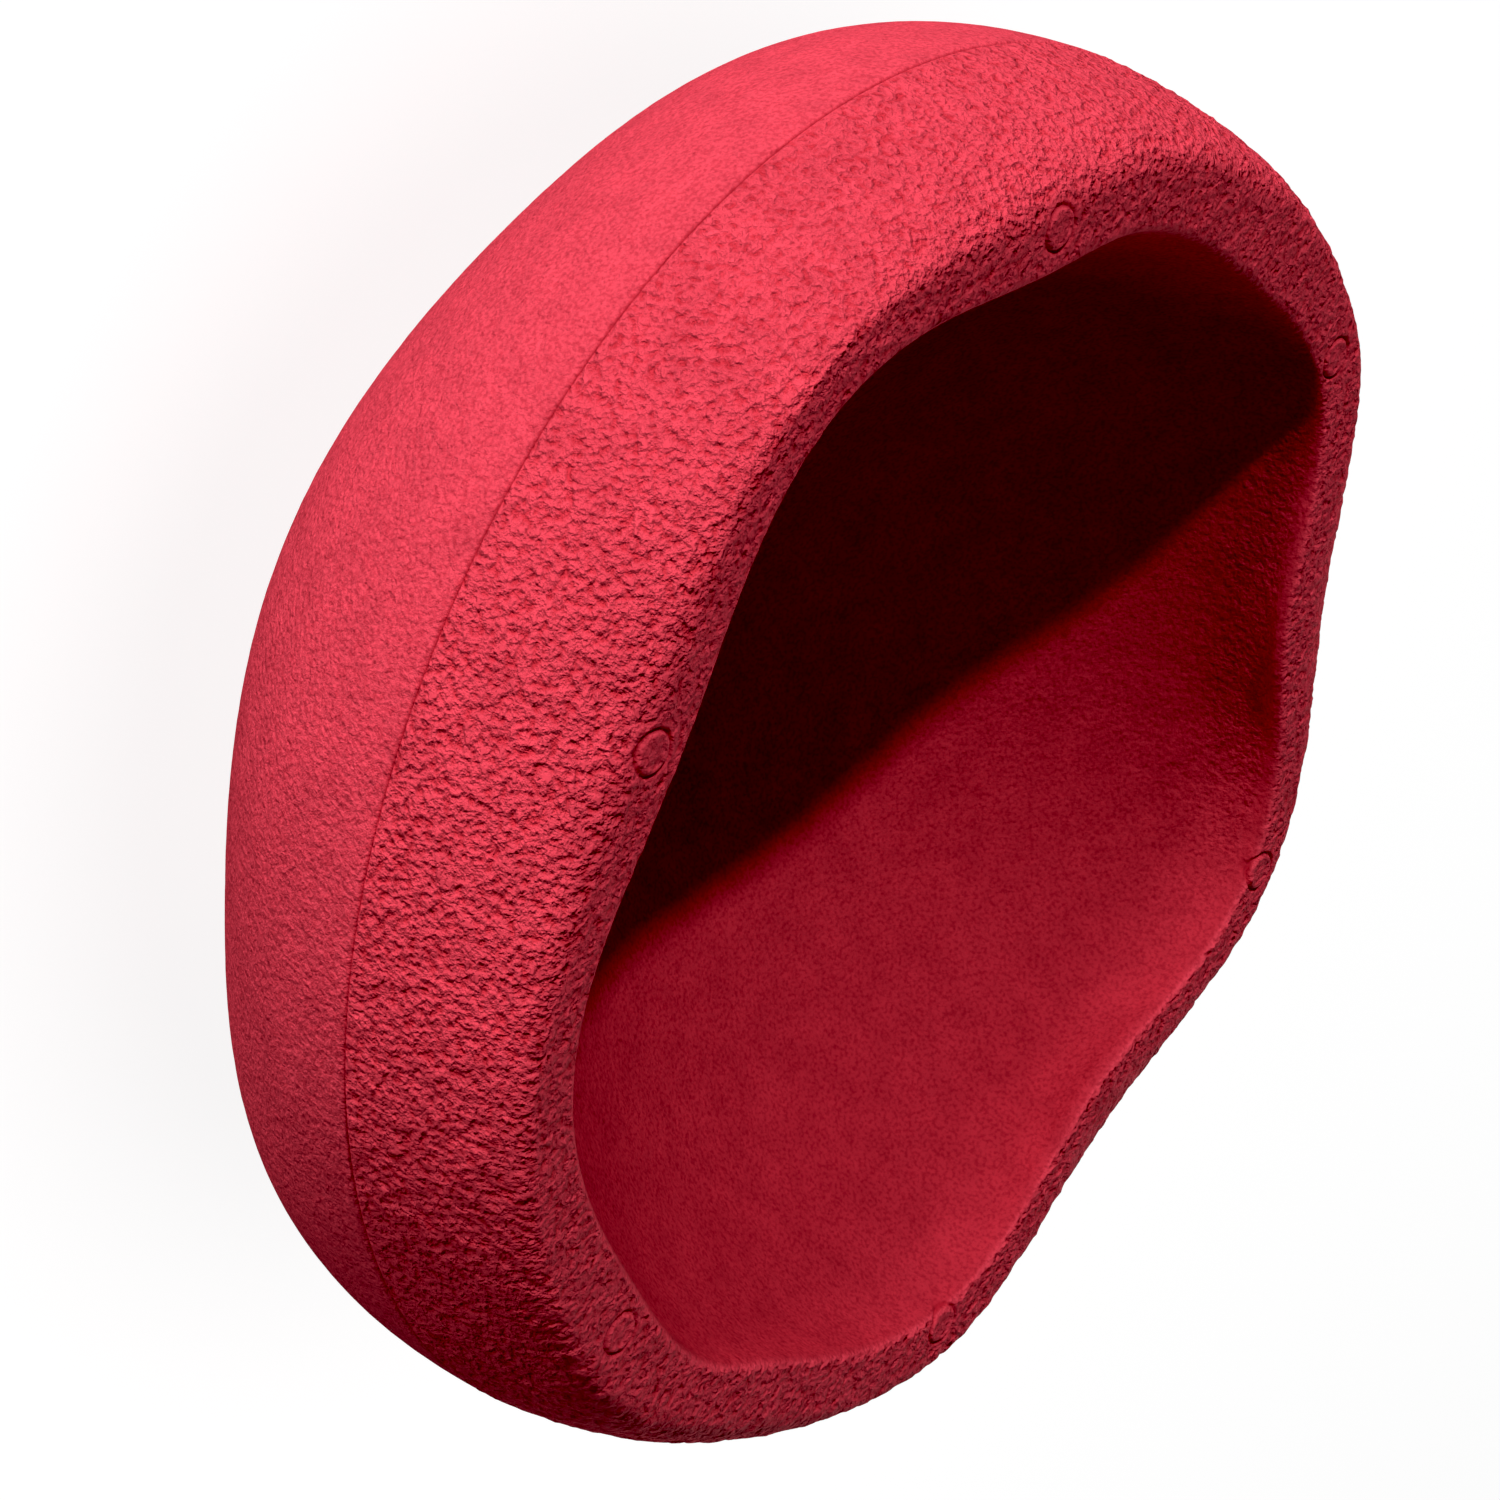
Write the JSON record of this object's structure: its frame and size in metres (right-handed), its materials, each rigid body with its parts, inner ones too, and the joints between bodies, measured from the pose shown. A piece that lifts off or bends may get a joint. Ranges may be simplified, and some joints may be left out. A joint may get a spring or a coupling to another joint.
{
  "type": "hollow foam stepping stone",
  "caption": "Hollow pebble-shaped foam stepping and stacking stone: domed crown, wavy rim round a deep open bowl, parting line at its girth.",
  "frame": {"origin": "centre of the whole part's box, on the plane of the crown's flat, which it lies on", "axes": "+Z out of the hollow, square to the rim face; +X through one of the six ring marks on the rim"},
  "size_m": [0.275, 0.2752, 0.12],
  "materials": {
    "crown_foam": "matt, fine-grained skin of expanded polypropylene bead foam",
    "rim_foam": "matt, coarse pebbled skin of expanded polypropylene bead foam"
  },
  "bodies": {
    "root": {"crown_shell": "crown_foam", "rim_band": "rim_foam"}
  },
  "joints": []
}
